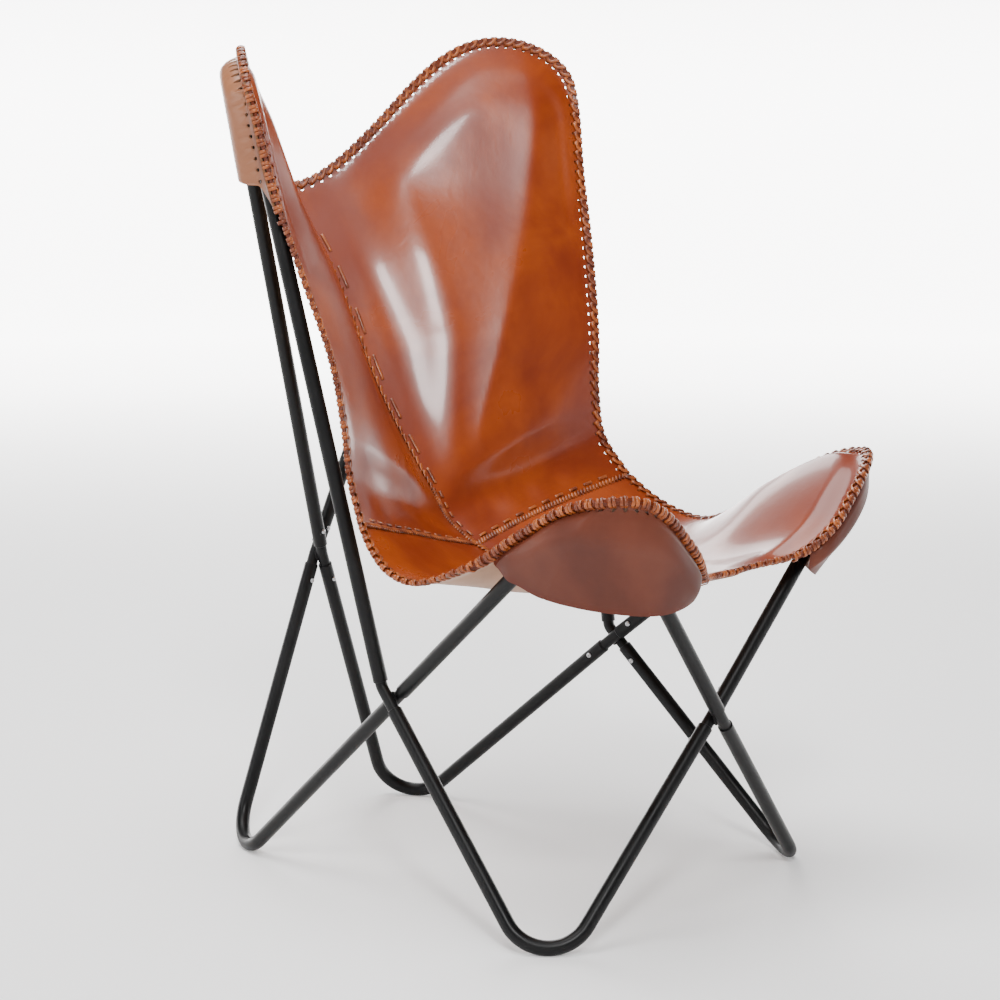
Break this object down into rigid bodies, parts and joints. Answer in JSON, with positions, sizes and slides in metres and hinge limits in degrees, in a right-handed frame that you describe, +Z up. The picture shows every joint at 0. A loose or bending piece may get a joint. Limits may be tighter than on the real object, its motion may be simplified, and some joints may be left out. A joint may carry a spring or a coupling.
{
  "type": "butterfly sling chair",
  "caption": "Lounge chair with a laced leather sling hung by corner pockets over a knock-down frame of bent black steel tube.",
  "frame": {"origin": "on the floor, under the middle of the chair's bounding box", "axes": "+Z up; the sitter faces -Y and has +X on the left; the chair is symmetric about the plane X = 0 but for the order of the tubes at the front and back crossings"},
  "size_m": [0.5614, 0.687, 0.9184],
  "materials": {
    "frame_enamel": "satin black enamel on bent steel tube",
    "screw_steel": "small bright pan-head screws",
    "tan_leather": "glossy waxed cognac leather with darker patches",
    "brown_leather": "reddish brown leather of the wing pockets, semi-matt",
    "lace_leather": "flat leather thong, wound tightly over the edges",
    "raw_leather": "raw flesh side of the leather, matt"
  },
  "bodies": {
    "root": {"front_left_leg": "frame_enamel", "front_right_leg": "frame_enamel", "back_left_leg": "frame_enamel", "back_right_leg": "frame_enamel", "left_wing_tube": "frame_enamel", "right_wing_tube": "frame_enamel", "left_horn_tube": "frame_enamel", "right_horn_tube": "frame_enamel", "front_cross_connector": "frame_enamel", "back_cross_connector": "frame_enamel", "left_cross_connector": "frame_enamel", "right_cross_connector": "frame_enamel", "front_left_leg_screw_1": "screw_steel", "front_left_leg_screw_2": "screw_steel", "front_right_leg_screw_1": "screw_steel", "front_right_leg_screw_2": "screw_steel", "back_left_leg_screw_1": "screw_steel", "back_left_leg_screw_2": "screw_steel", "back_right_leg_screw_1": "screw_steel", "back_right_leg_screw_2": "screw_steel", "left_wing_tube_screw_1": "screw_steel", "left_wing_tube_screw_2": "screw_steel", "right_wing_tube_screw_1": "screw_steel", "right_wing_tube_screw_2": "screw_steel", "left_horn_tube_screw_1": "screw_steel", "left_horn_tube_screw_2": "screw_steel", "right_horn_tube_screw_1": "screw_steel", "right_horn_tube_screw_2": "screw_steel", "back_panel_left": "tan_leather", "back_panel_right": "tan_leather", "seat_panel_left": "tan_leather", "seat_panel_right": "tan_leather", "horn_pocket_left": "tan_leather", "horn_pocket_right": "tan_leather", "wing_pocket_left": "brown_leather", "wing_pocket_right": "brown_leather", "side_edge_lace_left": "lace_leather", "side_edge_lace_right": "lace_leather", "top_edge_lace": "lace_leather", "front_edge_lace": "lace_leather", "centre_back_seam_lace": "lace_leather", "centre_seat_seam_lace": "lace_leather", "cross_seam_lace_left": "lace_leather", "cross_seam_lace_right": "lace_leather", "centre_back_seam_strap": "raw_leather", "centre_seat_seam_strap": "raw_leather", "cross_seam_strap_left": "raw_leather", "cross_seam_strap_right": "raw_leather"}
  },
  "joints": []
}
